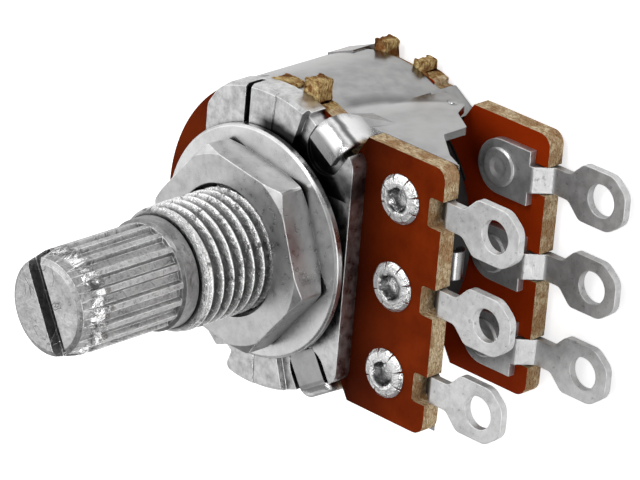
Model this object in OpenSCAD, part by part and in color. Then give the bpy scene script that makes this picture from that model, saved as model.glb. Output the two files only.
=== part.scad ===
// Dual-gang rotary potentiometer with a splined shaft, solder lugs and a panel bushing.
// Millimetres. The shaft axis is Z, the panel meets the flange at z = 0, the lugs point to -Y.

/* [Shaft] */
// Height of the shaft's tip above the mounting face
shaft_len = 15.2; // [14:0.1:25]
// Diameter over the spline teeth
spline_d = 5.76; // [5.6:0.02:6.0]
// Diameter at the root of the spline teeth
spline_root_d = 5.24; // [5.1:0.02:5.4]
// Number of spline teeth
spline_teeth = 18; // [14:1:24]
// Width of a tooth at its root
tooth_base = 0.74; // [0.6:0.02:0.8]
// Width of a tooth at its crest
tooth_crest = 0.26; // [0.2:0.02:0.4]
// Length of the lead-in taper on the teeth
tooth_lead = 1.25; // [0.6:0.05:1.6]
// Diameter of the plain collar in front of the bushing
collar_d = 6.1; // [5.9:0.05:6.6]
// Length of the plain collar
collar_len = 1.1; // [0.8:0.05:1.4]
// Diameter of the journal that turns in the bushing
journal_d = 5.0; // [4.8:0.05:5.1]
// Width of the screwdriver slot
slot_w = 1.0; // [0.8:0.05:1.2]
// Depth of the screwdriver slot
slot_depth = 1.6; // [1.2:0.05:2.2]
// Direction of the slot, from +X toward +Y
slot_angle = 28.5; // [0:0.5:90]
// Diameter of the thin rear part that carries the rotors
tail_d = 4.0; // [3.8:0.05:4.2]
// Width across the two flats of the rear part
tail_flat = 3.0; // [2.8:0.05:3.2]

/* [Bushing and flange] */
// Outside diameter of the threaded bushing
bushing_d = 6.9; // [6.8:0.05:7.0]
// Height of the bushing above the mounting face
bushing_len = 7.1; // [6.4:0.1:9]
// Radius of the flange's rim
flange_r = 8.6; // [8.5:0.05:8.7]
// Thickness of the flange, from the mounting face to its back
flange_t = 1.55; // [1.5:0.05:2]
// Height of the raised pads above the flange's lower face
pad_h = 0.5; // [0.4:0.05:0.6]
// Distance from the axis to the flange's straight edge on the lug side
flange_low = 6.05; // [6.0:0.05:6.2]
// Distance from the axis to the flange's straight edge on the far side
flange_high = 4.4; // [4.3:0.05:4.6]
// Width of the open slot in the flange's rim
rim_slot_w = 0.4; // [0.35:0.05:0.6]

/* [Nut and washer] */
// Width across the flats of the nut
nut_af = 10; // [9.5:0.1:10.4]
// Thickness of the nut
nut_t = 1.95; // [1.8:0.05:2.4]
// Direction of one corner of the nut, from +X
nut_angle = 20.9; // [0:0.1:60]
// Diameter of the washer
washer_d = 12.9; // [12:0.1:13]
// Thickness of the washer
washer_t = 0.5; // [0.4:0.05:0.6]

/* [Wafers] */
// Radius of the wafers' round side
wafer_r = 8.37; // [8.3:0.01:8.4]
// Thickness of a wafer
wafer_t = 1.1; // [1:0.05:1.3]
// Distance between the two wafers
wafer_gap = 6.95; // [6.9:0.05:7.3]
// Width of the wafers' tongue
tongue_w = 15.2; // [15.1:0.05:15.2]
// Distance from the axis to the end of the tongue
tongue_reach = 11.6; // [11.5:0.1:12]
// Radius of the tongue's corners
tongue_corner = 0.7; // [0.4:0.05:0.9]
// Width of the notch that each lug passes through
notch_w = 1.65; // [1.6:0.05:1.9]
// Depth of the notch that each lug passes through
notch_depth = 0.96; // [0.9:0.02:1.0]
// Diameter of the wafers' centre hole
wafer_hole_d = 6.9; // [6.8:0.05:7.0]
// Reach of the front wafer's plain tab on the +X side
front_tab_reach = 8.6; // [8.5:0.05:9]
// Reach of the rear wafer's plain tab on the +X side
rear_tab_reach = 9.0; // [8.8:0.05:9.2]
// Reach of the front wafer's hammer-shaped tab on the +X side
front_head_reach = 9.4; // [9.0:0.05:9.6]
// Reach of the rear wafer's hammer-shaped tab on the +X side
rear_head_reach = 8.75; // [8.65:0.05:9.2]
// Reach of the wafers' tabs on the -X side
short_tab_reach = 8.4; // [8.3:0.05:8.45]

/* [Case] */
// Outside radius of the sheet case
case_r = 8.4; // [8.38:0.01:8.42]
// Thickness of the sheet metal of the case, the lugs and the stop plate
sheet_t = 0.45; // [0.4:0.01:0.48]
// Width over the two flat sides of the case
case_w = 15.24; // [15.2:0.02:15.3]
// Set-back of the case's flat sides behind the end of the wafers' tongue
case_set_back = 0.1; // [0.1:0.05:0.3]
// Width of the clamp tabs that fold over the flange and the rear wafer
clamp_w = 2.0; // [1.8:0.05:2.1]
// Direction of the front clamp tabs, below the X axis on each side
clamp_angle = 32; // [31:0.5:33]
// Reach inward of the clamp tab on the +X side, measured from the axis
clamp_tip_right = 7.55; // [7.4:0.05:7.7]
// Reach inward of the clamp tab on the -X side, measured from the axis
clamp_tip_left = 6.3; // [6.3:0.05:7.0]

/* [Lugs and eyelets] */
// Distance between neighbouring lugs
lug_pitch = 5; // [4.8:0.05:5.08]
// Width of a lug's plate on the wafer
lug_plate_w = 3.1; // [2.8:0.05:3.2]
// Width of a lug's neck
neck_w = 1.5; // [1.3:0.05:1.55]
// Width of a lug's eye
eye_w = 3.2; // [3:0.05:3.4]
// Distance from the end of the tongue to the centre of a lug's hole
lug_hole_out = 3.4; // [3.2:0.1:4]
// Diameter of a lug's hole
lug_hole_d = 1.84; // [1.6:0.02:2.0]
// Step of the front lugs toward the panel
front_jog = 0.72; // [0.6:0.02:0.8]
// Step of the rear lugs away from the panel
rear_jog = 0.98; // [0.8:0.02:1.0]
// Distance from the end of the tongue to the row of eyelets
eyelet_in = 2.97; // [2.9:0.01:3.0]
// Outside diameter of an eyelet's tube
eyelet_d = 1.56; // [1.5:0.02:1.6]
// Diameter of an eyelet's split flare
flare_d = 2.75; // [2.5:0.05:2.9]
// Height of an eyelet's split flare
flare_h = 0.3; // [0.25:0.01:0.34]
// Number of petals in the flare
petals = 8; // [6:1:10]

/* [Rotors] */
// Diameter of the rotors
rotor_d = 15.2; // [14.8:0.1:15.3]
// Thickness of a rotor
rotor_t = 1.9; // [1.7:0.05:2]
// Diameter of the front rotor's hub
hub_d = 5.8; // [5.6:0.05:6]
// Total travel of the shaft
travel = 300; // [280:5:310]
// Clockwise end of the travel, from the pose that is drawn
travel_low = -178.5; // [-180:0.5:-170]
// Thickness of the carbon tracks and collectors
track_t = 0.05; // [0.03:0.01:0.08]

/* [Clearances] */
// Radial clearance of the shaft in the bushing
run_gap = 0.05; // [0.03:0.01:0.08]
// Axial clearance between pieces that turn and pieces that stand still
end_gap = 0.05; // [0.03:0.01:0.08]
// Clearance between a fixed piece and the hole or notch that it stands in
fit_gap = 0.05; // [0.02:0.01:0.08]

/* [Hidden] */
$fn = 64;
e = 0.05;

// Levels along the axis, from the panel to the rear
z_low = -pad_h;
z_back = -flange_t;
z_front = z_back - wafer_t;
z_rear = z_front - wafer_gap;
z_base = z_rear - wafer_t;
z_foot = z_base - sheet_t;
z_collar = bushing_len + end_gap;
z_spline = z_collar + collar_len;
z_clip = z_back - end_gap;
clip_t = 0.5;
z_rotor1 = z_front - 0.8;
z_rotor2 = z_rear + 0.8;
z_hub = z_rotor2 + rotor_t;
z_stop = z_rotor1 - rotor_t - 0.55;
z_tail = z_foot + 0.2;

// Radii and widths that follow from the sizes above
bore_r = journal_d / 2 + run_gap;
tooth_r = spline_d / 2;
root_r = spline_root_d / 2;
bushing_r = bushing_d / 2;
rim_left_r = flange_r - 0.18;
case_in_r = case_r - sheet_t;
case_x = case_w / 2;
case_in_x = case_x - sheet_t;
bend_y = sqrt(case_r * case_r - case_x * case_x);
cut_r = case_in_r - fit_gap;
head_r = 8.5;
tongue_x = tongue_w / 2;
clamp_d = case_in_r + fit_gap;
clamp_cut = clamp_d - 3 * fit_gap;
pocket_d = 6.15;
rear_clamp_angle = 22;
notch_end = tongue_reach - notch_depth;
case_reach = tongue_reach - case_set_back;
lug_hole_y = tongue_reach + lug_hole_out;
eyelet_y = tongue_reach - eyelet_in;
span = 2 * tongue_reach;
lug_xs = [lug_pitch, 0, -lug_pitch];
stop_angle = 90;
stop_half = (360 - travel) / 4;
lug_centre = stop_angle - 2 * stop_half - travel - travel_low;
stop_in_r = hub_d / 2 + 1.7;
stop_out_r = rotor_d / 2 - 1.4;
track_out_r = rotor_d / 2 - 0.8;
track_in_r = track_out_r - 1.5;
collector_in_r = wafer_hole_d / 2 + 0.15;
collector_out_r = collector_in_r + 1;

// Points along an arc
function arc(r, a0, a1, n) =
    [for (i = [0 : n]) [r * cos(a0 + (a1 - a0) * i / n), r * sin(a0 + (a1 - a0) * i / n)]];

// One rounded corner at p, between the points a and b
function corner(p, a, b, r, n) =
    let (
        u = (a - p) / norm(a - p),
        v = (b - p) / norm(b - p),
        half = acos(max(-1, min(1, u * v))) / 2,
        c = p + (u + v) / norm(u + v) * r / sin(half),
        s = p + u * r / tan(half),
        f = p + v * r / tan(half),
        a0 = atan2(s.y - c.y, s.x - c.x),
        a1 = atan2(f.y - c.y, f.x - c.x),
        turn = a1 - a0 > 180 ? a1 - a0 - 360 : a1 - a0 < -180 ? a1 - a0 + 360 : a1 - a0
    )
    [for (i = [0 : n]) c + r * [cos(a0 + turn * i / n), sin(a0 + turn * i / n)]];

// Outline from points [x, y, corner radius]
function outline(v, n = 5) =
    let (k = len(v))
    [for (i = [0 : k - 1])
        let (
            p = [v[i].x, v[i].y],
            a = [v[(i + k - 1) % k].x, v[(i + k - 1) % k].y],
            b = [v[(i + 1) % k].x, v[(i + 1) % k].y]
        )
        each v[i].z > 0 ? corner(p, a, b, v[i].z, n) : [p]
    ];

// The same points with a corner radius of zero
function sharp(v) = [for (p = v) [p.x, p.y, 0]];

// The points mirrored to -X, in reverse order
function mirrored(v) = [for (i = [len(v) - 1 : -1 : 0]) [-v[i].x, v[i].y, v[i].z]];

// A profile of points [y, z] swept along X, centred
module along_x(w) {
    rotate([90, 0, 90])
        linear_extrude(w, center = true)
            children();
}

// A profile of points [distance from the axis, z] swept across the direction a
module across(a, w) {
    rotate([0, 0, a])
        rotate([90, 0, 0])
            linear_extrude(w, center = true)
                children();
}

// Part of a ring between two directions
module ring_part(r0, r1, z0, z1, a0, a1) {
    rotate([0, 0, a0])
        rotate_extrude(angle = a1 - a0)
            translate([r0, z0])
                square([r1 - r0, z1 - z0]);
}

// Section of the spline before its tips are turned down
module spline_section() {
    circle(r = root_r);
    for (i = [0 : spline_teeth - 1])
        rotate(i * 360 / spline_teeth)
            polygon([
                [root_r - 0.3, -tooth_base / 2],
                [tooth_r + e, -tooth_crest / 2],
                [tooth_r + e, tooth_crest / 2],
                [root_r - 0.3, tooth_base / 2]
            ]);
}

// Part that has the two flats, made larger all round by g
module tail(z0, z1, g) {
    intersection() {
        translate([0, 0, z0])
            cylinder(d = tail_d + 2 * g, h = z1 - z0);
        translate([-tail_flat / 2, -tail_d, z0])
            cube([tail_flat, 2 * tail_d, z1 - z0]);
    }
}

module shaft() {
    color("silver")
    difference() {
        union() {
            intersection() {
                translate([0, 0, z_spline - e])
                    linear_extrude(shaft_len - z_spline + e)
                        spline_section();
                rotate_extrude()
                    polygon([
                        [0, z_spline - e],
                        [tooth_r, z_spline - e],
                        [tooth_r, shaft_len - 0.15 - tooth_lead],
                        [root_r, shaft_len - 0.15],
                        [root_r - 0.3, shaft_len],
                        [0, shaft_len]
                    ]);
            }
            rotate_extrude()
                polygon([
                    [0, z_clip - clip_t - 0.5],
                    [journal_d / 2, z_clip - clip_t - 0.5],
                    [journal_d / 2, z_clip - clip_t],
                    [tail_d / 2, z_clip - clip_t],
                    [tail_d / 2, z_clip],
                    [journal_d / 2, z_clip],
                    [journal_d / 2, z_collar],
                    [collar_d / 2 - 0.1, z_collar],
                    [collar_d / 2, z_collar + 0.1],
                    [collar_d / 2, z_spline - 0.15],
                    [collar_d / 2 - 0.2, z_spline],
                    [0, z_spline]
                ]);
            tail(z_tail, z_clip - clip_t - 0.4, 0);
        }
        rotate([0, 0, slot_angle])
            translate([-collar_d, -slot_w / 2, shaft_len - slot_depth])
                cube([2 * collar_d, slot_w, slot_depth + 1]);
    }
}

module retaining_clip() {
    color("gray")
        ring_part(tail_d / 2 + fit_gap, wafer_hole_d / 2 - 0.35, z_clip - clip_t, z_clip, 40, 330);
}

// Outline of the flange without the pockets for the clamp tabs
function flange_points() = concat(
    [[6.35, -flange_low, 0.9]],
    sharp(arc(flange_r, -36, 20, 15)),
    [[7.4, 3.75, 0.5], [6.4, flange_high, 0.8]],
    [[-5.2, flange_high, 0.8], [-6.29, 3.39, 0.4], [-7.09, 2.43, 0.15]],
    [[-6.76, 1.62, 0.15], [-7.02, 1.26, 0.15], [-7.93, 1.59, 0.3]],
    sharp(arc(rim_left_r, 173, 216, 12)),
    [[-6.35, -flange_low, 0.9]]
);

// Groove with a round inner end that takes a folded clamp tab
module clamp_pocket(a, z, depth) {
    translate([0, 0, z])
        rotate([0, 0, a])
            linear_extrude(depth)
                union() {
                    translate([pocket_d + 1.3, 0])
                        circle(r = 1.3);
                    translate([pocket_d + 1.3, -1.3])
                        square([3, 2.6]);
                }
}

module flange_layer(z0, z1) {
    translate([0, 0, z0])
        linear_extrude(z1 - z0)
            polygon(outline(flange_points()));
}

// Part of a raised pad up to the radius r, with a chamfer along its outer edge
module pad_part(r, z1, a0, a1) {
    rotate([0, 0, a0])
        rotate_extrude(angle = a1 - a0)
            polygon([
                [bushing_r - e, z_low - e],
                [r + e, z_low - e],
                [r + e, z1 - 0.26],
                [r - 0.17, z1],
                [bushing_r - e, z1]
            ]);
}

// Raised pads, as far in as the washer's bore
module pads() {
    difference() {
        intersection() {
            flange_layer(z_low - e, 0);
            union() {
                pad_part(flange_r, 0, -3.5, 60);
                pad_part(flange_r, -0.07, -17.5, -3.4);
                pad_part(rim_left_r, 0, 120, 183);
                pad_part(rim_left_r, -0.07, 182.9, 198);
            }
        }
        translate([-4, -1, z_low - 2 * e])
            cube([8, 8, 1]);
    }
    translate([0, 0, z_low - e])
        cylinder(d = nut_af - 1.2, h = pad_h + e);
}

module bushing_plate() {
    color("lightgray")
    difference() {
        union() {
            flange_layer(z_back, z_low);
            pads();
            rotate_extrude()
                polygon([
                    [0, z_back],
                    [bushing_r, z_back],
                    [bushing_r, bushing_len - 0.4],
                    [bushing_r - 0.3, bushing_len],
                    [0, bushing_len]
                ]);
        }
        translate([0, 0, z_back - 1])
            cylinder(r = bore_r, h = bushing_len + flange_t + 2);
        translate([0, 0, bushing_len - 0.15])
            cylinder(r1 = bore_r, r2 = bore_r + 0.3, h = 0.3);
        translate([flange_r - 2.4, 1.25, z_back + 0.35])
            cube([5, rim_slot_w, flange_t]);
        clamp_pocket(-clamp_angle, z_low - pad_h / 2, 1);
        clamp_pocket(clamp_angle - 180, z_low - sheet_t, 1);
        rotate([0, 0, -clamp_angle])
            translate([clamp_d + fit_gap, -1.3, z_back - 1])
                cube([3, 3.25, flange_t + 2]);
        rotate([0, 0, clamp_angle - 180])
            translate([clamp_d + fit_gap, -1.3, z_back - 1])
                cube([3, 2.6, flange_t + 2]);
    }
}

module flat_washer() {
    color("gainsboro")
        rotate_extrude()
            polygon([
                [bushing_r + 0.15, 0],
                [washer_d / 2 - 0.05, 0],
                [washer_d / 2, 0.08],
                [washer_d / 2, washer_t - 0.12],
                [washer_d / 2 - 0.12, washer_t],
                [bushing_r + 0.15, washer_t]
            ]);
}

module hex_nut() {
    circum = nut_af / 2 / cos(30);
    color("gainsboro")
    difference() {
        intersection() {
            translate([0, 0, washer_t])
                rotate([0, 0, nut_angle])
                    cylinder(r = circum, h = nut_t, $fn = 6);
            rotate_extrude()
                polygon([
                    [0, washer_t],
                    [nut_af / 2 + 0.25, washer_t],
                    [circum - 0.05, washer_t + 0.25],
                    [circum - 0.05, washer_t + nut_t - 0.25],
                    [nut_af / 2 + 0.25, washer_t + nut_t],
                    [0, washer_t + nut_t]
                ]);
        }
        translate([0, 0, washer_t - 1])
            cylinder(r = bushing_r + fit_gap, h = nut_t + 2);
        translate([0, 0, washer_t + nut_t - 0.35])
            cylinder(r1 = bushing_r + fit_gap, r2 = bushing_r + 0.25, h = 0.4);
    }
}

// Right side of a wafer, from the tongue's corner up to the round side.
// tab is [reach, y0, y1] of the plain tab, head the same for the hammer-shaped one, whose
// stem has the radius root_r and starts at y_stem
function wafer_side(tab, head, y_stem, root_r) = concat(
    [[tongue_x, -tongue_reach, tongue_corner], [tongue_x, y_stem, 0]],
    sharp(arc(root_r, asin(y_stem / root_r), asin(head.y / root_r), 4)),
    [[head.x, head.y, 0.2], [head.x, head.z, 0.2]],
    [for (y = [head.z, tab.y]) [sqrt(cut_r * cut_r - y * y), y, 0]],
    [[tab.x, tab.y, 0.25], [tab.x, tab.z, 0.25], [sqrt(cut_r * cut_r - tab.z * tab.z), tab.z, 0]],
    sharp(arc(cut_r, 15, 30, 5))
);

function wafer_points(tab, head, y_stem) = concat(
    wafer_side(tab, head, y_stem, head_r),
    sharp(arc(wafer_r, 30, 150, 48)),
    mirrored(wafer_side([short_tab_reach, -0.35, 1.4], [short_tab_reach, -2.25, -1.05],
        y_stem, short_tab_reach - 0.1))
);

module wafer(z, tab, head, y_stem) {
    difference() {
        translate([0, 0, z])
            linear_extrude(wafer_t)
                polygon(outline(wafer_points(tab, head, y_stem)));
        translate([0, 0, z - 1])
            cylinder(d = wafer_hole_d, h = wafer_t + 2);
        for (x = lug_xs) {
            translate([x, -eyelet_y, z - 1])
                cylinder(d = eyelet_d + 2 * fit_gap, h = wafer_t + 2);
            translate([x, -tongue_reach, z - 1])
                linear_extrude(wafer_t + 2)
                    polygon(outline([
                        [-notch_w / 2, -1, 0],
                        [notch_w / 2, -1, 0],
                        [notch_w / 2, notch_depth, 0.2],
                        [-notch_w / 2, notch_depth, 0.2]
                    ]));
        }
        for (a = [-clamp_angle, clamp_angle - 180])
            rotate([0, 0, a])
                translate([clamp_cut, -clamp_w / 2 - 2 * fit_gap, z - 1])
                    cube([3, clamp_w + 4 * fit_gap, wafer_t + 2]);
    }
}

module front_wafer() {
    color("saddlebrown")
        wafer(z_front, [front_tab_reach, -0.35, 1.4], [front_head_reach, -2.25, -1.05], -3.6);
}

module rear_wafer() {
    color("saddlebrown")
        wafer(z_base, [rear_tab_reach, 0.6, 1.6], [rear_head_reach, -2.3, -1.35], -3.1);
}

// Wall of the case: round on the far side, then two flats toward the lugs
module case_wall(z0, z1) {
    h = z1 - z0;
    difference() {
        union() {
            intersection() {
                translate([0, 0, z0])
                    cylinder(r = case_r, h = h, $fn = 128);
                translate([-span / 2, -bend_y - 0.1, z0])
                    cube([span, span, h]);
            }
            translate([-case_x, -case_reach, z0])
                cube([case_w, case_reach - bend_y + 0.1, h]);
        }
        intersection() {
            translate([0, 0, z0 - 1])
                cylinder(r = case_in_r, h = h + 2, $fn = 128);
            translate([-span / 2, -bend_y, z0 - 1])
                cube([span, span, h + 2]);
        }
        translate([-case_in_x, -case_reach - 1, z0 - 1])
            cube([2 * case_in_x, case_reach + 1.2 - bend_y, h + 2]);
    }
}

// Outline of the case seen from the side, points [y, z]
function gusset_points() = [
    [span / 2, z_rear, 0],
    [span / 2, z_front, 0],
    [-case_reach, z_front, 0],
    [-case_reach + 1.3, z_front - 0.65, 0.8],
    [-case_reach + 3.1, z_front - 2.15, 0.6],
    [-case_reach + 3.45, z_front - 2.5, 0.3],
    [-case_reach + 3.45, z_rear + 2.72, 0.15],
    [-case_reach + 5.08, z_rear + 1.67, 0.3],
    [-case_reach + 5.44, z_rear + 0.97, 0.2],
    [-case_reach + 5.65, z_rear + 0.52, 0.2],
    [-case_reach + 6.86, z_rear, 0]
];

// Clamp tab that grows out of a flat side of the case on the side s, rises through the front
// wafer's notch and folds over the flange
module front_clamp(s, tip, top, bulge) {
    t = sheet_t;
    a = s > 0 ? -clamp_angle : clamp_angle - 180;
    root = bulge - 0.12;
    z_root = z_back - 0.45;
    hull() {
        translate([s * (case_x - t / 2) - t / 2 + 0.03, -5.65, z_front - 1.6])
            cube([t - 0.06, 1.85, 0.3]);
        rotate([0, 0, a])
            translate([root - t + 0.03, -clamp_w / 2 + 0.03, z_root])
                cube([t - 0.06, clamp_w - 0.06, 0.1]);
    }
    across(a, clamp_w)
        polygon(outline([
            [root - t, z_root + 0.05, 0],
            [root, z_root + 0.05, 0],
            [bulge, z_back + 0.05, 0.5],
            [bulge, top, 0.8],
            [tip, top, 0.1],
            [tip, top - t, 0],
            [bulge - t, top - t, 0.35],
            [bulge - t, z_back + 0.1, 0.2]
        ]));
}

// Clamp tab that folds over the back of the rear wafer
module rear_clamp(a) {
    t = sheet_t;
    across(a, clamp_w)
        polygon(outline([
            [clamp_d, z_rear + 0.9, 0],
            [clamp_d + t, z_rear + 0.9, 0],
            [clamp_d + t, z_foot, 0.75],
            [6.5, z_foot, 0.1],
            [6.5, z_base, 0],
            [clamp_d, z_base, 0.3]
        ]));
}

module case() {
    color("darkgray")
    union() {
        intersection() {
            case_wall(z_rear, z_front);
            along_x(span)
                polygon(outline(gusset_points()));
        }
        intersection() {
            case_wall(z_front - e, z_back);
            union() {
                translate([-span / 2, 1.5, z_front - e])
                    cube([span, 1, wafer_t + e]);
                translate([-span / 2, -1, z_front - e])
                    cube([span, 0.6, wafer_t + e]);
            }
        }
        front_clamp(1, clamp_tip_right, z_low + sheet_t, clamp_d + 1.1);
        front_clamp(-1, clamp_tip_left, z_low, clamp_d + 1.0);
        for (a = [rear_clamp_angle, 180 - rear_clamp_angle, -clamp_angle, clamp_angle - 180])
            rear_clamp(a);
        for (s = [-1, 1])
            translate([s * case_x, -5.2, z_rear + 0.75])
                rotate([0, s * 90, 0])
                    translate([0, 0, -0.1])
                        cylinder(r1 = 0.4, r2 = 0.28, h = 0.17);
    }
}

// Flat pattern of a lug, with its row at x = 0
module lug_pattern() {
    translate([0, -eyelet_y])
        circle(d = lug_plate_w);
    translate([-lug_plate_w / 2, -notch_end - 0.06])
        square([lug_plate_w, notch_end + 0.06 - eyelet_y]);
    polygon(outline([
        [-neck_w / 2, -notch_end + 0.5, 0],
        [-neck_w / 2, 2.25 - lug_hole_y, 0.5],
        [-eye_w / 2, 1.4 - lug_hole_y, 0.5],
        [-eye_w / 2, -0.7 - lug_hole_y, 0.95],
        [-eye_w / 4, -1.65 - lug_hole_y, 0.85],
        [eye_w / 4, -1.65 - lug_hole_y, 0.85],
        [eye_w / 2, -0.7 - lug_hole_y, 0.95],
        [eye_w / 2, 1.4 - lug_hole_y, 0.5],
        [neck_w / 2, 2.25 - lug_hole_y, 0.5],
        [neck_w / 2, -notch_end + 0.5, 0]
    ]));
}

// Lug with its plate under a wafer face at z = 0 and its eye raised by jog
module lug(jog) {
    t = sheet_t;
    y1 = -notch_end - 0.1;
    y2 = -tongue_reach + 0.05;
    difference() {
        intersection() {
            translate([0, 0, -t - e])
                linear_extrude(t + jog + 2 * e)
                    lug_pattern();
            along_x(5)
                polygon(outline([
                    [0, 0, 0],
                    [y1, 0, 0.2],
                    [y2, jog, 0.2],
                    [-span, jog, 0],
                    [-span, jog - t, 0],
                    [y2 - 0.17, jog - t, 0.2],
                    [y1 - 0.17, -t, 0.2],
                    [0, -t, 0]
                ]));
        }
        translate([0, -lug_hole_y, -2])
            cylinder(d = lug_hole_d, h = 5);
        translate([0, -eyelet_y, -2])
            cylinder(d = eyelet_d + 2 * fit_gap, h = 5);
    }
}

module front_lug(i) {
    color("silver")
        translate([lug_xs[i], 0, z_front])
            lug(front_jog);
}

module rear_lug(i) {
    color("silver")
        translate([lug_xs[i], 0, z_rear])
            mirror([0, 0, 1])
                lug(rear_jog);
}

module front_lug_1() { front_lug(0); }
module front_lug_2() { front_lug(1); }
module front_lug_3() { front_lug(2); }
module rear_lug_1() { rear_lug(0); }
module rear_lug_2() { rear_lug(1); }
module rear_lug_3() { rear_lug(2); }

// Eyelet with its split flare on the wafer face at z = 0 and its head on the lug
module eyelet() {
    r = eyelet_d / 2;
    bottom = -wafer_t - sheet_t;
    difference() {
        rotate_extrude()
            polygon([
                [0, bottom - 0.05],
                [0.35, bottom - 0.05],
                [0.6, bottom - 0.16],
                [r + 0.2, bottom - 0.16],
                [r + 0.32, bottom - 0.06],
                [r + 0.32, bottom],
                [r, bottom],
                [r, 0],
                [flare_d / 2, 0],
                [flare_d / 2, 0.08],
                [flare_d / 2 - 0.18, flare_h - 0.07],
                [r + 0.1, flare_h],
                [r - 0.1, flare_h - 0.03],
                [r - 0.32, flare_h - 0.55],
                [0, flare_h - 0.6]
            ]);
        for (i = [0 : petals - 1])
            rotate([0, 0, (i + 0.5) * 360 / petals])
                linear_extrude(1)
                    polygon([[r + 0.06, 0], [flare_d / 2 + 0.2, -0.08], [flare_d / 2 + 0.2, 0.08]]);
    }
}

module front_eyelet(i) {
    color("whitesmoke")
        translate([lug_xs[i], -eyelet_y, z_back])
            eyelet();
}

module rear_eyelet(i) {
    color("whitesmoke")
        translate([lug_xs[i], -eyelet_y, z_base])
            mirror([0, 0, 1])
                eyelet();
}

module front_eyelet_1() { front_eyelet(0); }
module front_eyelet_2() { front_eyelet(1); }
module front_eyelet_3() { front_eyelet(2); }
module rear_eyelet_1() { rear_eyelet(0); }
module rear_eyelet_2() { rear_eyelet(1); }
module rear_eyelet_3() { rear_eyelet(2); }

// Plate between the rotors: a stop for the front rotor and a curled ear toward the lugs
module stop_plate() {
    z0 = z_stop - sheet_t;
    curl_r = 0.6;
    curl_y = -8.3;
    color("lightgray")
    difference() {
        union() {
            intersection() {
                translate([0, 0, z0])
                    cylinder(r = case_in_r - 2 * fit_gap, h = sheet_t);
                translate([-case_in_x + 0.1, -span / 2, z0])
                    cube([2 * case_in_x - 0.2, span, sheet_t]);
            }
            translate([-case_in_x, -4.6, z0])
                cube([2 * case_in_x, 1.1, sheet_t]);
            translate([-0.8, curl_y, z0])
                cube([1.6, 1.5, sheet_t]);
            along_x(1.6)
                intersection() {
                    difference() {
                        translate([curl_y, z_stop - curl_r])
                            circle(r = curl_r);
                        translate([curl_y, z_stop - curl_r])
                            circle(r = curl_r - sheet_t + 0.02);
                    }
                    translate([curl_y - 2, z_stop - 2])
                        square([2, 3]);
                }
            ring_part(stop_in_r, stop_out_r, z_stop - e, z_stop + 0.5,
                stop_angle - stop_half, stop_angle + stop_half);
        }
        translate([0, 0, z0 - 1])
            cylinder(d = hub_d + 0.6, h = sheet_t + 2);
    }
}

// Moulded disc with a bore that fits the flats of the shaft
module rotor_body(z_top, z_end, hub_top, hub_end) {
    r = rotor_d / 2;
    difference() {
        rotate_extrude($fn = 96)
            polygon([
                [0, hub_end],
                [hub_d / 2, hub_end],
                [hub_d / 2, z_end],
                [r - 0.2, z_end],
                [r, z_end + 0.2],
                [r, z_top - 0.2],
                [r - 0.2, z_top],
                [hub_d / 2, z_top],
                [hub_d / 2, hub_top],
                [0, hub_top]
            ]);
        tail(hub_end - 1, hub_top + 1, fit_gap);
    }
}

module front_rotor() {
    color("dimgray")
    union() {
        rotor_body(z_rotor1, z_rotor1 - rotor_t, z_rotor1 + 0.1, z_hub);
        ring_part(stop_in_r, stop_out_r, z_stop + end_gap, z_rotor1 - rotor_t + e,
            lug_centre - stop_half + 0.3, lug_centre + stop_half - 0.3);
    }
}

module rear_rotor() {
    color("dimgray")
        rotor_body(z_hub, z_rotor2, z_hub, z_rotor2 - 0.1);
}

// Spring wiper on a rotor face at z = 0, its arms reaching up to h
module wiper(h) {
    t = 0.2;
    ring_part(hub_d / 2 + 0.3, track_out_r - 0.1, 0, t, -38, 38);
    for (r = [(collector_in_r + collector_out_r) / 2, (track_in_r + track_out_r) / 2])
        translate([r - 0.35, 0, 0])
            rotate([90, 0, 90])
                linear_extrude(0.7)
                    polygon([
                        [-1.6, t - e],
                        [-1.2, t - e],
                        [0.9, h - t - 0.04],
                        [1.3, h - t - 0.04],
                        [1.5, h - 0.2],
                        [1.3, h],
                        [0.9, h],
                        [-1.6, t + 0.1]
                    ]);
}

module front_wiper() {
    color("gold")
        translate([0, 0, z_rotor1])
            wiper(-end_gap - track_t - z_rotor1 + z_front);
}

module rear_wiper() {
    color("gold")
        translate([0, 0, z_rotor2])
            mirror([0, 0, 1])
                wiper(z_rotor2 - z_rear - track_t - end_gap);
}

module front_track() {
    color("black")
        ring_part(track_in_r, track_out_r, z_front - track_t, z_front, -62, 242);
}

module rear_track() {
    color("black")
        ring_part(track_in_r, track_out_r, z_rear, z_rear + track_t, -62, 242);
}

module collector(z0) {
    translate([0, 0, z0])
        difference() {
            cylinder(r = collector_out_r, h = track_t);
            translate([0, 0, -1])
                cylinder(r = collector_in_r, h = track_t + 2);
        }
}

module front_collector() {
    color("lightgray")
        collector(z_front - track_t);
}

module rear_collector() {
    color("lightgray")
        collector(z_rear);
}

bushing_plate();
hex_nut();
flat_washer();
shaft();
retaining_clip();
front_wafer();
rear_wafer();
case();
front_lug_1();
front_lug_2();
front_lug_3();
rear_lug_1();
rear_lug_2();
rear_lug_3();
front_eyelet_1();
front_eyelet_2();
front_eyelet_3();
rear_eyelet_1();
rear_eyelet_2();
rear_eyelet_3();
stop_plate();
front_rotor();
rear_rotor();
front_wiper();
rear_wiper();
front_track();
rear_track();
front_collector();
rear_collector();
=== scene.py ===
import bpy, bmesh, math
from mathutils import Matrix, Vector, noise


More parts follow.
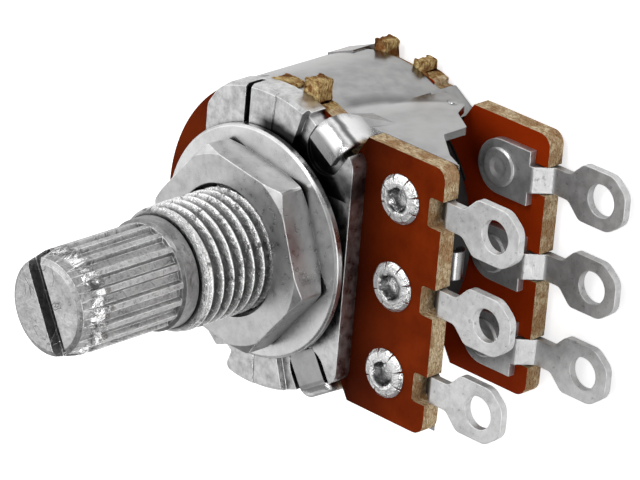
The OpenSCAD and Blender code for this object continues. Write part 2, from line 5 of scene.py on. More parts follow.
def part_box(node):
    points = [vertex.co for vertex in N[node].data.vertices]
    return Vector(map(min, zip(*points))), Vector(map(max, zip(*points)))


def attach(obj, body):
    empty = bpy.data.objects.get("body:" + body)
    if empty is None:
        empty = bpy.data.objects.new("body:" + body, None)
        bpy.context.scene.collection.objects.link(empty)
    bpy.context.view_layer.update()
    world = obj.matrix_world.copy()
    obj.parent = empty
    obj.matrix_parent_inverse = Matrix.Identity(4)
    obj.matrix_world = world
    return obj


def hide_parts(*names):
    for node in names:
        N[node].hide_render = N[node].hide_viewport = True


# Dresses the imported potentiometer: node materials on every piece, the bushing's thread, the wafers'
# broken-out tabs, and the photograph's camera, floor and light. Lengths are in millimetres, and MM
# makes them metres. Greys and colours are written as a picture shows them, from 0 to 255.

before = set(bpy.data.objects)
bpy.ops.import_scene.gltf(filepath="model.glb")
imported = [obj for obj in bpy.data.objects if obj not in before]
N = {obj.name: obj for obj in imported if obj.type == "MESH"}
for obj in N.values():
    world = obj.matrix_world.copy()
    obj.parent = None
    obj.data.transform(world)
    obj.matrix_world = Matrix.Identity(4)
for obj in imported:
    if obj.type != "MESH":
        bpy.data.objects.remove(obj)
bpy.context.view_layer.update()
S = bpy.context.scene
MM = 0.001
S.view_settings.view_transform = "Standard"

# ---------------------------------------------------------------- sizes of the part that the looks follow
TAB_REACH = 8.35  # the clamp tabs' bends lie outside this radius
TAB_LOW = -2.6  # and above this height
CREASE_X = 6.0  # the case's creased side lies beyond this x
CREASE_Y, CREASE_DROP = -2.7, 0.000386  # the crease's y at z 0, and its drop with z to the fourth
WASHER_SIDE = (0.951, -0.309)  # direction from the axis to the painted shade on the casting beside the washer
PAD_X = 4.0  # the pad with painted shade at its foot lies beyond this x
EYELET_PITCH, EYELET_Y = 5.0, -8.63  # the front rivets' places
DISH_R = 0.85  # a rivet's dished middle
THREAD_CREST, THREAD_ROOT, THREAD_PITCH = 3.45, 2.99, 0.75
SPLINE_Z = 8.23  # where the shaft's teeth end
GRAIN_R, SIDE_R, TORN_R = 2.35, 2.45, 2.52  # the shaft's side lies beyond these, its end face within
SLOT_ACROSS, SLOT_HALF = (-0.4772, 0.8788), 0.512  # the slot's normal, and half its width with its walls
SLOT_LOW, SLOT_TOP, SLOT_HIGHLIGHT_Z = 13.3, 15.17, 14.62
REAR_WAFER_Z = -6.0  # the rear wafer lies below this height
CORE_X, CORE_Y = 8.0, -4.0  # the wafers' golden cores show beyond these
WAFER_TAB_X, WAFER_TAB_Y = 7.95, (-3.7, 2.2)  # their broken-out tabs lie beyond this x, in this range

# ---------------------------------------------------------------- camera, fitted to the photograph
PHOTO_W, PHOTO_H = 640, 480  # pixels
FOCAL, CENTRE_X, CENTRE_Y = 4989.85, 314.705, 233.556  # pixels
SENSOR = 36
CAMERA_AT = (105.388, -168.993, 177.003)
CAMERA_TURN = Vector((2.08452281, -1.630354, -1.10106977))  # a rotation vector, in radians

cam_data = bpy.data.cameras.new("camera")
cam = bpy.data.objects.new("camera", cam_data)
S.collection.objects.link(cam)
S.camera = cam
cam_data.sensor_width = SENSOR
cam_data.lens = FOCAL / PHOTO_W * SENSOR
cam_data.shift_x = (PHOTO_W / 2 - CENTRE_X) / PHOTO_W
cam_data.shift_y = (CENTRE_Y - PHOTO_H / 2) / PHOTO_W
cam_data.clip_start, cam_data.clip_end = 0.01, 10
turn = Matrix.Rotation(CAMERA_TURN.length, 3, CAMERA_TURN.normalized())
pose = Matrix((turn[0], -turn[1], -turn[2])).transposed().to_4x4()
pose.translation = Vector(CAMERA_AT) * MM
cam.matrix_world = pose


# ---------------------------------------------------------------- colours and node helpers
def lin(r, g, b):
    """A colour as a picture shows it, in the linear values that Blender's sockets hold."""
    f = lambda c: c / 255 / 12.92 if c < 11 else ((c / 255 + 0.055) / 1.055) ** 2.4
    return (f(r), f(g), f(b))


def grey(v):
    return lin(v, v, v)


WEAR_AND_HIGHLIGHT = grey(250)  # bright metal: worn edges and torn metal, and painted highlights on them and in the slot


def new_node(tree, kind, **attrs):
    x = tree.nodes.new(kind)
    for k, v in attrs.items():
        setattr(x, k, v)
    return x


def fill_ramp(ramp_node, stops):
    """Sets a colour ramp's stops; a plain number stands for a grey in linear values."""
    e = ramp_node.color_ramp.elements
    while len(e) < len(stops):
        e.new(0.5)
    for el, (p, c) in zip(e, stops):
        el.position = p
        el.color = (c, c, c, 1) if isinstance(c, (int, float)) else (*c, 1)


class Mat:
    """A material whose texture coordinates are the object's own, in millimetres."""

    def __init__(self, name):
        self.mat = bpy.data.materials.new(name)
        self.mat.use_nodes = True
        self.tree = self.mat.node_tree
        self.bsdf = self.tree.nodes["Principled BSDF"]
        tc = self.n("ShaderNodeTexCoord")
        mp = self.n("ShaderNodeMapping")
        mp.inputs["Scale"].default_value = (1 / MM,) * 3
        self.link(tc.outputs["Object"], mp.inputs["Vector"])
        self.mm = mp.outputs["Vector"]
        self.normal = tc.outputs["Normal"]

    # the base colour, as the socket that feeds it
    @property
    def base(self):
        return self.bsdf.inputs["Base Color"].links[0].from_socket

    @base.setter
    def base(self, col):
        self.link(col, self.bsdf.inputs["Base Color"])

    def roughness(self, v):
        self.link(v, self.bsdf.inputs["Roughness"])

    def n(self, kind, **attrs):
        return new_node(self.tree, kind, **attrs)

    def link(self, a, b):
        self.tree.links.new(a, b)

    def put(self, sock, v):
        if hasattr(v, "is_output"):
            self.link(v, sock)
        else:
            sock.default_value = v

    # numbers
    def math(self, op, a, b=0.0, c=None):
        x = self.n("ShaderNodeMath", operation=op)
        self.put(x.inputs[0], a)
        self.put(x.inputs[1], b)
        if c is not None:
            self.put(x.inputs[2], c)
        return x.outputs[0]

    def add(self, a, b):
        return self.math("ADD", a, b)

    def mul(self, a, *more):
        for b in more:
            a = self.math("MULTIPLY", a, b)
        return a

    def mul_add(self, a, b, c):
        return self.math("MULTIPLY_ADD", a, b, c)

    def above(self, v, limit):
        return self.math("GREATER_THAN", v, limit)

    def below(self, v, limit):
        return self.math("LESS_THAN", v, limit)

    def absolute(self, v):
        return self.math("ABSOLUTE", v)

    def radius(self, x, y):
        return self.math("SQRT", self.add(self.mul(x, x), self.mul(y, y)))

    def split(self, v):
        x = self.n("ShaderNodeSeparateXYZ")
        self.link(v, x.inputs[0])
        return x.outputs

    # textures and colours
    def noise(self, scale, detail=3.0, rough=0.5, stretch=None, dist=0.0):
        x = self.n("ShaderNodeTexNoise")
        x.inputs["Scale"].default_value = scale
        x.inputs["Detail"].default_value = detail
        x.inputs["Roughness"].default_value = rough
        x.inputs["Distortion"].default_value = dist
        v = self.mm
        if stretch:
            mp = self.n("ShaderNodeMapping")
            mp.inputs["Scale"].default_value = stretch
            self.link(v, mp.inputs["Vector"])
            v = mp.outputs["Vector"]
        self.link(v, x.inputs["Vector"])
        return x.outputs["Fac"]

    def ramp(self, fac, *stops):
        x = self.n("ShaderNodeValToRGB")
        fill_ramp(x, stops)
        self.link(fac, x.inputs["Fac"])
        return x.outputs["Color"]

    def fade(self, v, low, high, *stops):
        """A ramp over v from low to high, with its stops in v's own unit."""
        k = 1 / (high - low)
        return self.ramp(self.mul_add(v, k, -low * k), *[((p - low) * k, c) for p, c in stops])

    def mix(self, fac, a, b):
        x = self.n("ShaderNodeMix", data_type="RGBA")
        self.put(x.inputs["Factor"], fac)
        for s, v in ((x.inputs[6], a), (x.inputs[7], b)):  # the colour sockets
            self.put(s, v if hasattr(v, "is_output") else (*v, 1))
        return x.outputs[2]

    # wear, dirt and relief
    def soft_normal(self, radius, samples):
        bv = self.n("ShaderNodeBevel", samples=samples)
        bv.inputs["Radius"].default_value = radius * MM
        return bv.outputs["Normal"]

    def worn(self, radius):
        """1 within radius of a sharp edge, patchy, and 0 on a flat face: where edges show wear and a
        painted highlight.
        """
        geo = self.n("ShaderNodeNewGeometry")
        dot = self.n("ShaderNodeVectorMath", operation="DOT_PRODUCT")
        self.link(self.soft_normal(radius, 8), dot.inputs[0])
        self.link(geo.outputs["Normal"], dot.inputs[1])
        near = self.math("SUBTRACT", 1.0, dot.outputs["Value"])
        patch = self.ramp(self.noise(1.3, 4, 0.7), (0.4, 0.25), (0.56, 1.0))
        return self.mul(self.ramp(near, (0.006, 0.0), (0.06, 1.0)), patch)

    def painted_corner_shade(self, col, dark, reach=1.0):
        """Painted shade: darkens a colour in corners and gaps, by ambient occlusion."""
        ao = self.n("ShaderNodeAmbientOcclusion", samples=8)
        ao.inputs["Distance"].default_value = reach * MM
        return self.mix(self.ramp(ao.outputs["AO"], (0.15, 1.0), (0.75, 0.0)), col, grey(dark))

    def bump(self, height, dist, strength, soft):
        """Relief of height dist, on edges rounded to the radius soft."""
        x = self.n("ShaderNodeBump")
        x.inputs["Distance"].default_value = dist * MM
        x.inputs["Strength"].default_value = strength
        self.link(height, x.inputs["Height"])
        self.link(self.soft_normal(soft, 6), x.inputs["Normal"])
        self.link(x.outputs["Normal"], self.bsdf.inputs["Normal"])


# ---------------------------------------------------------------- metals
def metal(name, dark, light, rough, grain, depth, soft=0.06, scratch=0.0, pits=0.0, wave=0.06,
          edge=0.0, painted_corner_shade=60, metallic=1.0):
    """A metal that wanders between two greys, and between two values of roughness.

    grain is the fine noise's scale, depth the relief's height, soft the radius of rounded edges and wave
    the height of slow waves. pits and edge are shares: of dark pits, and of brightness on sharp edges,
    which stands for wear and is partly painted highlight. painted_corner_shade is the grey of the painted
    shade in corners.
    """
    m = Mat(name)
    m.bsdf.inputs["Metallic"].default_value = metallic
    big = m.noise(0.55, 4, 0.55)
    fine = m.noise(grain, 5, 0.65)
    blend = m.ramp(m.add(m.mul(big, 0.45), m.mul(fine, 0.55)), (0.38, 0.0), (0.6, 1.0))
    col = m.mix(blend, grey(dark), grey(light))
    if pits:
        col = m.mix(m.ramp(m.noise(grain * 1.7, 3, 0.7), (0.6, 0.0), (0.7, pits)), col, grey(70))
    # painted shade in corners and gaps
    if painted_corner_shade:
        col = m.painted_corner_shade(col, painted_corner_shade)
    if edge:
        # edges painted bright: wear, and partly painted highlight
        col = m.mix(m.mul(m.worn(0.09), edge), col, WEAR_AND_HIGHLIGHT)
    m.base = col
    m.roughness(m.ramp(fine, (0.3, rough[0]), (0.7, rough[1])))
    height = m.add(fine, m.mul(m.noise(0.16, 1, 0.4), wave / depth * 6))
    if scratch:
        height = m.add(height, m.mul(m.noise(2.2, 2, 0.5, stretch=(1, 14, 1)), scratch))
    m.bump(height, depth, 0.6, soft)
    return m


def round_bends_and_paint_reflections(m, radius):
    """Rounder shading, and painted reflection bands, on the clamp tabs that curl over the flange."""
    x, y, z = m.split(m.mm)
    where = m.mul(m.fade(m.radius(x, y), 0, 10, (TAB_REACH, 0.0), (TAB_REACH + 0.25, 1.0)),
                  m.above(z, TAB_LOW))
    bump = m.bsdf.inputs["Normal"].links[0].from_node
    both = m.n("ShaderNodeMix", data_type="VECTOR")
    m.link(where, both.inputs["Factor"])
    m.link(bump.inputs["Normal"].links[0].from_socket, both.inputs[4])  # the vector sockets
    m.link(m.soft_normal(radius, 12), both.inputs[5])
    m.link(both.outputs[1], bump.inputs["Normal"])
    # painted reflections: bright, dark and bright again from the tab's foot to its tip
    level = m.mul_add(z, 0.37, m.mul_add(m.noise(1.4, 4, 0.6), 0.16, 0.92))
    band = m.ramp(level, (0.0, grey(168)), (0.3, grey(232)), (0.52, grey(236)), (0.6, grey(120)),
                  (0.66, grey(104)), (0.74, grey(232)))
    m.base = m.mix(where, m.base, band)


def crease(m):
    """Painted shade: a soft dark line where the case's +X side turns into its wing; and painted light that
    makes the wing lighter.
    """
    x, y, z = m.split(m.mm)
    # how far y lies above the crease, which curves down toward the rear
    off = m.add(y, m.mul_add(m.math("POWER", m.absolute(z), 4.0), CREASE_DROP, -CREASE_Y))
    where = m.mul(m.above(x, CREASE_X),
                  m.fade(z, -10, 0, (-9.0, 0.3), (-7.8, 1.0), (-3.6, 1.0), (-2.6, 0.0)))
    wing = m.fade(off, -2, 2, (-1.6, 0.2), (-0.48, 0.6), (-0.24, 0.0))
    line = m.fade(off, -2, 2, (-0.36, 0.0), (-0.08, 0.75), (0.12, 0.6), (0.64, 0.0))
    # painted light on the wing, then the painted shade line
    col = m.mix(m.mul(where, wing), m.base, grey(205))
    m.base = m.mix(m.mul(where, line), col, grey(104))


def paint_washer_shade(m):
    """Painted shade on the casting beside the washer: by the +X clamp tab, and at the foot of the pad next
    to it.
    """
    x, y, _ = m.split(m.mm)
    along = m.mul_add(x, WASHER_SIDE[0],
                      m.mul_add(y, WASHER_SIDE[1], m.mul_add(m.noise(0.9, 4, 0.6), 0.6, -0.3)))
    beside = m.mul(m.fade(along, 0, 10, (5.6, 0.0), (6.0, 1.0), (6.7, 1.0), (7.4, 0.0)),
                   m.fade(y, -5, 5, (-0.4, 1.0), (0.5, 0.0)))
    out = m.mul_add(m.noise(0.8, 3, 0.6), 0.5, m.radius(x, y))
    foot = m.mul(m.fade(out, 0, 10, (7.12, 1.0), (7.45, 0.0)), m.above(x, PAD_X),
                 m.fade(y, -5, 5, (0.0, 1.0), (0.9, 0.0)))
    # painted shade beside the washer, and a darker painted shadow at the pad's foot
    col = m.mix(m.mul(beside, 0.85), m.base, grey(84))
    m.base = m.mix(foot, col, grey(40))


cast = metal("cast_zinc", 166, 216, (0.24, 0.44), 2.2, 0.03, edge=0.8)
nickel = metal("nickel_satin", 200, 222, (0.24, 0.36), 1.6, 0.012, soft=0.09, scratch=0.3, edge=0.7)
nut_metal = metal("nickel_nut", 174, 204, (0.24, 0.36), 1.6, 0.016, soft=0.07, scratch=0.3, edge=1.0)
tin = metal("tin_plate", 149, 167, (0.2, 0.27), 1.1, 0.006, scratch=0.3, wave=0.07)
lug = metal("lug_silver", 184, 218, (0.3, 0.42), 1.8, 0.02, soft=0.09, scratch=0.5, pits=0.45,
            wave=0.04, edge=0.9, metallic=0.7)
spring = metal("spring_steel", 130, 160, (0.3, 0.4), 2.0, 0.01, painted_corner_shade=0)
dull = metal("dull_tin", 196, 226, (0.3, 0.42), 2.0, 0.03, soft=0.08, pits=0.3, wave=0.02, metallic=0.7)
bronze = metal("wiper_bronze", 150, 190, (0.25, 0.4), 2.0, 0.01)
bronze.base = bronze.mix(bronze.noise(2), lin(176, 130, 60), lin(205, 165, 90))
round_bends_and_paint_reflections(tin, 0.8)
crease(tin)
paint_washer_shade(cast)


def make_bright():
    """The front rivets, painted by radius: a painted highlight on the rolled rim, painted shade in a dark
    ring inside it, and painted glints in the dish.
    """
    m = Mat("bright_tin")
    m.bsdf.inputs["Metallic"].default_value = 1.0
    x, y, _ = m.split(m.mm)
    nearest = m.mul(m.math("ROUND", m.mul(x, 1 / EYELET_PITCH)), EYELET_PITCH)
    r = m.radius(m.math("SUBTRACT", x, nearest), m.add(y, -EYELET_Y))
    fine = m.noise(2.6, 4, 0.65)
    ragged = m.add(r, m.mul_add(fine, 0.32, -0.16))
    # painted light and shade by radius: lighter middle, dark ring, bright rim
    col = m.fade(ragged, 0, 2, (0.2, grey(196)), (0.4, grey(150)), (0.68, grey(96)), (0.84, grey(225)),
                 (1.32, grey(248)), (1.44, grey(150)))
    # painted glints in the dish
    painted_glint = m.ramp(m.noise(1.5, 2, 0.5), (0.52, 0.0), (0.57, 1.0))
    m.base = m.mix(m.mul(painted_glint, m.below(r, DISH_R)), col, grey(245))
    m.roughness(m.ramp(fine, (0.3, 0.08), (0.7, 0.2)))
    m.bump(fine, 0.16, 0.8, 0.05)
    return m


def make_thread():
    """Cast thread: painted shade in the roots, painted highlights on the crests and as bright specks
    there, and dark pits.
    """
    m = Mat("thread_zinc")
    m.bsdf.inputs["Metallic"].default_value = 1.0
    x, y, _ = m.split(m.mm)
    fine = m.noise(3.6, 5, 0.7)
    ragged = m.add(m.radius(x, y), m.mul(fine, 0.28))
    # painted shade in the roots and painted highlight on the crests
    col = m.fade(ragged, 0, 4, (3.16, grey(84)), (3.32, grey(132)), (3.48, grey(208)), (3.568, grey(250)))
    # painted glints: bright specks on the crests
    speck = m.ramp(m.noise(2.6, 4, 0.75, dist=0.6), (0.57, 0.0), (0.63, 1.0))
    col = m.mix(m.mul(speck, m.above(ragged, 3.4)), col, grey(252))
    m.base = m.mix(m.ramp(m.noise(1.9, 4, 0.7), (0.36, 0.8), (0.43, 0.0)), col, grey(70))
    m.roughness(m.ramp(fine, (0.3, 0.16), (0.7, 0.3)))
    m.bump(m.add(fine, m.mul(m.noise(1.1, 3, 0.6), 1.5)), 0.12, 0.8, 0.03)
    return m


def make_shaft():
    """The cast shaft, with its teeth, collar, torn metal and slot."""
    m = Mat("shaft_cast")
    m.bsdf.inputs["Metallic"].default_value = 1.0
    x, y, z = m.split(m.mm)
    r = m.radius(x, y)
    big = m.noise(0.7, 4, 0.55)
    fine = m.noise(3.2, 5, 0.65)
    blend = m.ramp(m.add(m.mul(big, 0.5), m.mul(fine, 0.5)), (0.36, 0.0), (0.62, 1.0))
    col = m.mix(blend, grey(166), grey(218))
    # fine veins, as on a die-cast face
    vein = m.mul(m.ramp(m.noise(0.45, 3, 0.6, dist=1.2), (0.48, 0.0), (0.497, 1.0), (0.514, 0.0)),
                 m.ramp(m.noise(0.8, 2), (0.45, 0.0), (0.6, 1.0)))
    col = m.mix(m.mul(vein, 0.5), col, grey(110))
    # the teeth from root to crest: painted shade on the flanks, painted highlights on the crests, and a
    # dark grain over all
    toothed = m.mul(m.above(z, SPLINE_Z), m.above(r, SIDE_R))
    tooth = m.fade(m.mul_add(fine, 0.16, r), 2.38, 3.38,
                   (2.62, grey(166)), (2.7, grey(92)), (2.82, grey(108)), (2.9, grey(180)))
    col = m.mix(m.mul(toothed, 0.42), col, tooth)
    grain = m.ramp(m.noise(5.5, 4, 0.8), (0.5, 0.0), (0.62, 1.0))
    col = m.mix(m.mul(grain, m.above(r, GRAIN_R), 0.5), col, grey(86))
    # edges painted bright: wear, and partly painted highlight
    col = m.mix(m.worn(0.08), col, WEAR_AND_HIGHLIGHT)
    # painted shade: the collar below the teeth is painted darker
    col = m.mix(m.mul(m.below(z, SPLINE_Z), m.ramp(big, (0.35, 0.9), (0.6, 0.55))), col, grey(112))
    # metal torn up where the teeth begin: bright torn metal with painted glints, and painted shadow in the
    # dark patches beside it
    band = m.mul(m.fade(z, 0, 20, (13.1, 0.0), (13.5, 1.0), (14.3, 1.0), (14.56, 0.0)),
                 m.above(r, TORN_R))
    chew = m.noise(1.15, 4, 0.7, stretch=(1, 1, 0.6), dist=0.8)
    torn = m.mul(band, m.ramp(chew, (0.46, 0.0), (0.52, 1.0)))
    col = m.mix(m.mul(band, m.ramp(chew, (0.38, 0.85), (0.45, 0.0))), col, grey(60))
    col = m.mix(torn, col, WEAR_AND_HIGHLIGHT)
    # the slot's walls are painted darker, as shade, with one painted highlight along them
    across = m.add(m.mul(x, SLOT_ACROSS[0]), m.mul(y, SLOT_ACROSS[1]))
    inside = m.mul(m.below(m.absolute(across), SLOT_HALF), m.above(z, SLOT_LOW), m.below(z, SLOT_TOP))
    slot_highlight = m.below(m.absolute(m.add(z, m.mul_add(fine, 0.12, -SLOT_HIGHLIGHT_Z))), 0.035)
    wall = m.ramp(fine, (0.3, grey(120)), (0.7, grey(160)))
    m.base = m.mix(inside, col, m.mix(slot_highlight, wall, WEAR_AND_HIGHLIGHT))
    m.roughness(m.mix(torn, m.ramp(fine, (0.3, 0.3), (0.7, 0.5)), grey(95)))
    m.bump(m.add(fine, m.add(m.mul(torn, 3.0), m.mul(vein, -0.6))), 0.06, 0.8, 0.05)
    return m


# ---------------------------------------------------------------- laminate and plastics
def make_laminate():
    """Paper-phenolic sheet: brown faces, fibrous pale edges, and golden cores in the broken tabs."""
    m = Mat("phenolic_laminate")
    x, y, z = m.split(m.mm)
    face = m.above(m.absolute(m.split(m.normal)[2]), 0.7)
    flake = m.noise(5.5, 3, 0.6)
    fibre = m.noise(3.2, 4, 0.7, stretch=(1, 1, 3.5))
    speck = m.noise(8.0, 3, 0.7, stretch=(1, 1, 2.0))
    # faces: painted shade that darkens them toward the clamped middle, away from the tongue's end, and
    # painted light that makes the rear wafer lighter
    top = m.mix(m.ramp(m.noise(0.35, 4, 0.6), (0.35, 0.0), (0.65, 1.0)), lin(98, 29, 2), lin(124, 43, 6))
    top = m.mix(m.ramp(flake, (0.55, 0.0), (0.8, 0.3)), top, lin(78, 22, 4))
    top = m.mix(m.fade(y, -15, -5, (-10.0, 0.0), (-5.9, 0.95), (-5.0, 0.2)), top, lin(48, 11, 1))
    top = m.mix(m.mul(m.below(z, REAR_WAFER_Z), 0.4), top, lin(186, 58, 12))
    # edges
    side = m.mix(m.ramp(fibre, (0.34, 0.0), (0.6, 1.0)), lin(158, 118, 72), lin(238, 220, 184))
    side = m.mix(m.ramp(m.noise(0.9, 4, 0.65), (0.46, 0.0), (0.56, 0.6)), side, lin(150, 100, 50))
    side = m.mix(m.ramp(speck, (0.54, 0.0), (0.66, 0.9)), side, lin(90, 56, 26))
    # the narrow tabs at the wafers' sides
    tab = m.mul(m.above(m.absolute(x), CORE_X), m.above(y, CORE_Y))
    gold = m.mix(m.ramp(fibre, (0.36, 0.0), (0.62, 1.0)), lin(136, 88, 34), lin(232, 208, 150))
    gold = m.mix(m.ramp(m.noise(0.9, 3, 0.6), (0.46, 0.0), (0.56, 0.8)), gold, lin(120, 66, 28))
    gold = m.mix(m.ramp(speck, (0.56, 0.0), (0.68, 0.85)), gold, lin(80, 44, 14))
    m.base = m.mix(tab, m.mix(face, side, top), gold)
    raw = m.math("MAXIMUM", tab, m.math("SUBTRACT", 1.0, face))
    m.roughness(m.mix(raw, grey(178), grey(225)))
    m.bsdf.inputs["Specular IOR Level"].default_value = 0.02
    m.bump(m.add(m.mul(raw, m.add(fibre, speck)), m.mul(flake, 0.12)), 0.12, 0.8, 0.05)
    return m


def plastic(name, dark, rough):
    m = Mat(name)
    patch = m.noise(2.5, 3)
    m.base = m.mix(m.ramp(patch, (0.3, 0.0), (0.7, 1.0)), grey(dark), grey(dark + 12))
    m.roughness(m.ramp(patch, (0.3, rough - 0.06), (0.7, rough + 0.06)))
    m.bump(m.noise(9, 2), 0.01, 0.5, 0.06)
    return m


bright = make_bright()
thread = make_thread()
shaft_metal = make_shaft()
laminate = make_laminate()
black = plastic("black_plastic", 24, 0.45)
carbon = plastic("carbon_film", 20, 0.6)

# by the start of a node's name
USE = {
    "bushing_plate": cast, "hex_nut": nut_metal, "flat_washer": nickel, "shaft": shaft_metal,
    "retaining_clip": spring, "case": tin, "stop_plate": tin,
    "front_wafer": laminate, "front_lug": lug, "front_eyelet": bright, "front_rotor": black,
    "front_wiper": bronze, "front_track": carbon, "front_collector": lug,
    "rear_wafer": laminate, "rear_lug": lug, "rear_eyelet": dull, "rear_rotor": black,
    "rear_wiper": bronze, "rear_track": carbon, "rear_collector": lug,
}
for name, o in N.items():
    m = next(m for start, m in USE.items() if name.startswith(start))
    o.data.materials.clear()
    o.data.materials.append(m.mat)


# ---------------------------------------------------------------- flange with its threaded bushing
def link_piece(name, me, mats, body):
    o = bpy.data.objects.new(name, me)
    S.collection.objects.link(o)
    for m in mats:
        me.materials.append(m.mat)
    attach(o, body)
    return o


def threaded_flange():
    """The flange's mesh with its plain bushing taken off and a threaded one put in its place."""
    low, high, cols, rows = -0.2, 7.1, 144, 210  # the tube's heights, and its grid
    last, run_out = 6.85, 0.5  # the thread's end, and the length over which it fades
    plain_r, tip_r, slope = 3.38, 3.15, 0.8  # the plain end and its chamfer
    lip_r, edge_r, bore = 3.1, 2.8, 2.55  # the end face and the bore
    sharpness = 1.35  # of the crests
    bm = bmesh.new()
    bm.from_mesh(N["bushing_plate"].data)
    gone = [f for f in bm.faces if min(v.co.z for v in f.verts) > 0.02 * MM or
            all(math.hypot(v.co.x, v.co.y) < (THREAD_CREST + 0.02) * MM and v.co.z > -0.01 * MM
                for v in f.verts)]
    bmesh.ops.delete(bm, geom=gone, context="FACES")

    def radius(a, z):
        """The helix's radius at angle a and height z; it runs out into a chamfered plain end."""
        c = 0.5 + 0.5 * math.cos(2 * math.pi * (z / THREAD_PITCH - a / (2 * math.pi)))
        cut = THREAD_ROOT + (THREAD_CREST - THREAD_ROOT) * c ** sharpness
        plain = min(plain_r, tip_r + (high - z) * slope)
        f = min(1.0, max(0.0, (last - z) / run_out))
        return plain + (cut - plain) * f * f * (3 - 2 * f)

    angles = [2 * math.pi * i / cols for i in range(cols)]
    levels = [low + (high - low) * k / rows for k in range(rows + 1)]
    rings = [[(radius(a, z), z) for a in angles] for z in levels]
    rings += [[(r, z)] * cols for r, z in ((lip_r, high), (edge_r, high), (bore, high - 0.2), (bore, low))]
    rings = [[bm.verts.new((r * math.cos(a) * MM, r * math.sin(a) * MM, z * MM))
              for a, (r, z) in zip(angles, ring)] for ring in rings]
    for k, (p, q) in enumerate(zip(rings, rings[1:])):
        for i in range(cols):
            f = bm.faces.new((p[i], p[(i + 1) % cols], q[(i + 1) % cols], q[i]))
            f.smooth = k < rows
            f.material_index = 1
    me = bpy.data.meshes.new("threaded_flange")
    bm.to_mesh(me)
    bm.free()
    return me


flange = link_piece("threaded_flange", threaded_flange(), [cast, thread], "housing")
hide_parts("bushing_plate")


# ---------------------------------------------------------------- wafers with broken-out side tabs
def broken_wafer(name, seed):
    """A wafer's mesh with its side tabs eaten inward, never outward."""
    bm = bmesh.new()
    bm.from_mesh(N[name].data)
    longest, deepest, full_depth_in = 0.22, 0.17, 0.3  # an edge, a bite, and the way to its full depth
    near = lambda p: (abs(p.x) > WAFER_TAB_X * MM and
                      WAFER_TAB_Y[0] * MM < p.y < WAFER_TAB_Y[1] * MM)
    for _ in range(4):
        long = [e for e in bm.edges
                if e.calc_length() > longest * MM and near((e.verts[0].co + e.verts[1].co) / 2)]
        bmesh.ops.subdivide_edges(bm, edges=long, cuts=1)
    bmesh.ops.triangulate(bm, faces=bm.faces[:])
    bm.normal_update()
    moves = []
    for v in bm.verts:
        if near(v.co):
            p = Vector((v.co.x, v.co.y, v.co.z)) / MM + Vector((seed, 0, 0))
            d = 0.5 + 0.5 * noise.fractal(p * 1.6, 0.8, 2.0, 3) + 0.35 * noise.noise(p * 6)
            inward = min(1.0, (abs(v.co.x) / MM - WAFER_TAB_X) / full_depth_in)
            moves.append((v, v.normal * (-deepest * MM * max(0.0, min(1.4, d)) * inward)))
    for v, d in moves:
        v.co += d
    me = bpy.data.meshes.new(name + "_worn")
    bm.to_mesh(me)
    bm.free()
    return me


for name, seed in (("front_wafer", 3), ("rear_wafer", 11)):
    o = link_piece(name + "_worn", broken_wafer(name, seed), [laminate], "housing")
    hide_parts(name)

# ---------------------------------------------------------------- floor, world and lamps
FLOOR_HALF = 3.0  # metres
FLOOR_WHITE, FLOOR_MIRRORED = 0.72, 0.25  # its own light, to the camera and in the metal's reflections
SKY_FROM = (0.3, 0.6, 0.742)  # the direction of the sky's brightest part
SKY = ((0.0, 0.3), (0.45, 0.2), (0.7, 0.3), (0.8, 0.75), (0.878, 1.15), (0.977, 1.6), (1.0, 1.65))
SKY_STRENGTH = 0.9


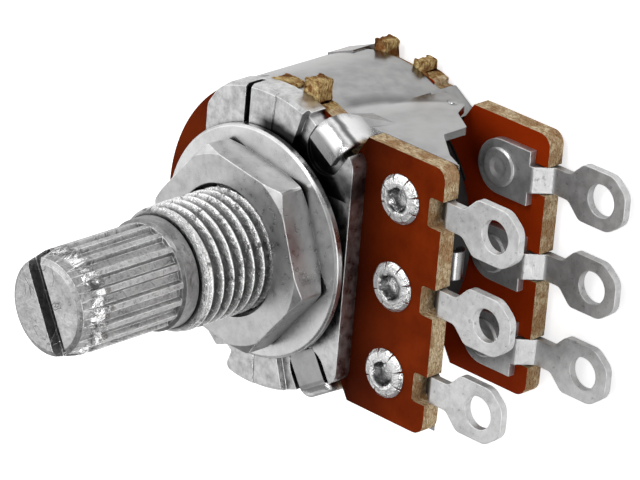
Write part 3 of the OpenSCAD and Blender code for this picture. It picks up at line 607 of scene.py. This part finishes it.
def floor():
    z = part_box("case")[0].z
    me = bpy.data.meshes.new("floor")
    s = FLOOR_HALF
    me.from_pydata([(-s, -s, z), (s, -s, z), (s, s, z), (-s, s, z)], [], [(0, 1, 2, 3)])
    o = bpy.data.objects.new("floor", me)
    S.collection.objects.link(o)
    m = bpy.data.materials.new("floor")
    m.use_nodes = True
    t = m.node_tree
    t.nodes.clear()
    out = new_node(t, "ShaderNodeOutputMaterial")
    pale = new_node(t, "ShaderNodeBsdfDiffuse")
    pale.inputs["Color"].default_value = (0.8, 0.8, 0.8, 1)
    glow = new_node(t, "ShaderNodeEmission")
    both = new_node(t, "ShaderNodeAddShader")
    ray = new_node(t, "ShaderNodeLightPath")
    seen = new_node(t, "ShaderNodeMath", operation="MULTIPLY")
    seen.inputs[1].default_value = FLOOR_WHITE
    mirrored = new_node(t, "ShaderNodeMath", operation="MULTIPLY_ADD")
    mirrored.inputs[1].default_value = FLOOR_MIRRORED
    for a, b in ((ray.outputs["Is Camera Ray"], seen.inputs[0]),
                 (ray.outputs["Is Glossy Ray"], mirrored.inputs[0]),
                 (seen.outputs[0], mirrored.inputs[2]),
                 (mirrored.outputs[0], glow.inputs["Strength"]),
                 (pale.outputs[0], both.inputs[0]),
                 (glow.outputs[0], both.inputs[1]),
                 (both.outputs[0], out.inputs[0])):
        t.links.new(a, b)
    me.materials.append(m)


def sky():
    """A studio that is bright from one side; the camera sees plain white."""
    world = bpy.data.worlds.new("studio")
    S.world = world
    world.use_nodes = True
    t = world.node_tree
    t.nodes.clear()
    out = new_node(t, "ShaderNodeOutputWorld")
    studio = new_node(t, "ShaderNodeBackground")
    studio.inputs["Strength"].default_value = SKY_STRENGTH
    white = new_node(t, "ShaderNodeBackground")
    white.inputs["Color"].default_value = (1, 1, 1, 1)
    either = new_node(t, "ShaderNodeMixShader")
    ray = new_node(t, "ShaderNodeLightPath")
    where = new_node(t, "ShaderNodeTexCoord")
    toward = new_node(t, "ShaderNodeVectorMath", operation="DOT_PRODUCT")
    toward.inputs[1].default_value = SKY_FROM
    share = new_node(t, "ShaderNodeMath", operation="MULTIPLY_ADD")  # from -1..1 to 0..1
    share.inputs[1].default_value = 0.5
    share.inputs[2].default_value = 0.5
    level = new_node(t, "ShaderNodeValToRGB")
    fill_ramp(level, SKY)
    for a, b in ((where.outputs["Generated"], toward.inputs[0]),
                 (toward.outputs["Value"], share.inputs[0]),
                 (share.outputs[0], level.inputs["Fac"]),
                 (level.outputs["Color"], studio.inputs["Color"]),
                 (ray.outputs["Is Camera Ray"], either.inputs[0]),
                 (studio.outputs[0], either.inputs[1]),
                 (white.outputs[0], either.inputs[2]),
                 (either.outputs[0], out.inputs[0])):
        t.links.new(a, b)


def lamp(name, pos, target, size, power):
    """An area lamp at pos that faces target; power is in watts."""
    d = bpy.data.lights.new(name, "AREA")
    d.shape = "RECTANGLE"
    d.size, d.size_y = size[0] * MM, size[1] * MM
    d.energy = power
    o = bpy.data.objects.new(name, d)
    S.collection.objects.link(o)
    p, q = Vector(pos) * MM, Vector(target) * MM
    o.location = p
    o.rotation_mode = "QUATERNION"
    o.rotation_quaternion = (p - q).to_track_quat("Z", "Y")


floor()
sky()
lamp("key", (170, -20, 170), (0, -3, 0), (50, 90), 0.13)
lamp("fill", (-20, -200, 60), (0, -8, -6), (160, 80), 0.16)
